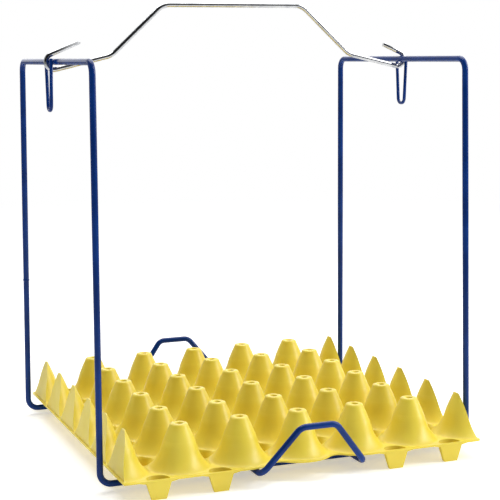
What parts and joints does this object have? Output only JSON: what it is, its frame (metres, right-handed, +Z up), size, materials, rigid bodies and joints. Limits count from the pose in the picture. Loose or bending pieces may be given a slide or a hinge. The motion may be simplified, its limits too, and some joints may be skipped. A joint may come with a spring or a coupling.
{
  "type": "egg collection basket",
  "caption": "Bent-wire carrier with a swinging handle and end stops, holding a lift-out moulded egg tray with tapered posts.",
  "frame": {"origin": "on the ground, under the middle of the wire carrier", "axes": "+X from one crossbar to the other, along the handle; +Y along the crossbars and runners, to the rear; +Z up"},
  "size_m": [0.325, 0.347, 0.3668],
  "materials": {
    "frame_coating": "glossy dark blue plastic coating on steel wire",
    "handle_chrome": "bright chrome-plated steel wire",
    "tray_plastic": "satin yellow moulded plastic"
  },
  "bodies": {
    "carrier": {"frame_hoop": "frame_coating", "runner_loop": "frame_coating", "left_hook_keeper": "frame_coating", "right_hook_keeper": "frame_coating"},
    "handle": {"carry_handle": "handle_chrome"},
    "tray": {"egg_tray": "tray_plastic"}
  },
  "joints": [
    {"name": "handle_swing", "type": "hinge", "parent": "carrier", "child": "handle", "pos_m": [0, 0, 0.3193], "axis": [1, 0, 0], "range_deg": [-35, 35]},
    {"name": "tray_lift", "type": "slide", "parent": "carrier", "child": "tray", "axis": [0, 0, 1], "range_m": [0, 0.25]}
  ]
}
